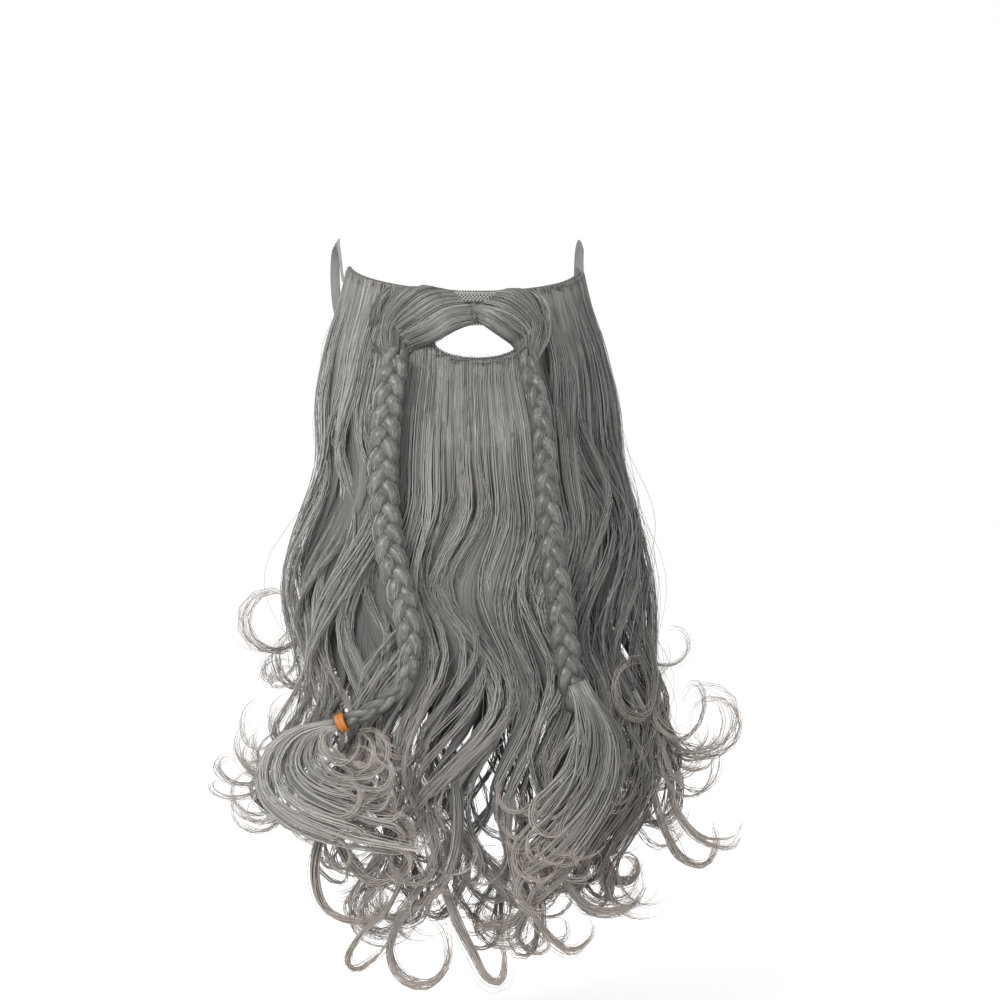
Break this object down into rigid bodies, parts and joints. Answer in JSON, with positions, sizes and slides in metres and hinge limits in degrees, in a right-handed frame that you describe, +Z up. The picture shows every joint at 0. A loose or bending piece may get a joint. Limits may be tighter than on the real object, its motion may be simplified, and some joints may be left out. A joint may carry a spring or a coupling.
{
  "type": "false beard",
  "caption": "False beard with a moustache, worn over the mouth and chin: long wavy grey hair with curled ends, braids that hang from the moustache, a knitted base and elastic ear loops.",
  "frame": {"origin": "where it sits on the lips: the middle of the mouth opening at the inner face of the base", "axes": "+Z up as it is worn, the wearer looks along -Y, the wearer's left side is at +X"},
  "size_m": [0.3189, 0.1943, 0.4625],
  "materials": {
    "hair": "satin synthetic hair",
    "net": "matt knitted net",
    "edging": "matt crochet in light and dark yarn",
    "elastic": "matt woven elastic",
    "band": "satin"
  },
  "bodies": {
    "root": {"face_base": "net", "nose_edging": "edging", "moustache_right": "hair", "moustache_left": "hair", "chin_fall": "hair", "cheek_fall_right": "hair", "cheek_fall_left": "hair", "under_fall": "hair", "braid_right": "hair", "braid_left": "hair", "braid_band": "band", "braid_tail_right": "hair", "braid_tail_left": "hair", "ear_loop_right": "elastic", "ear_loop_left": "elastic"}
  },
  "joints": []
}
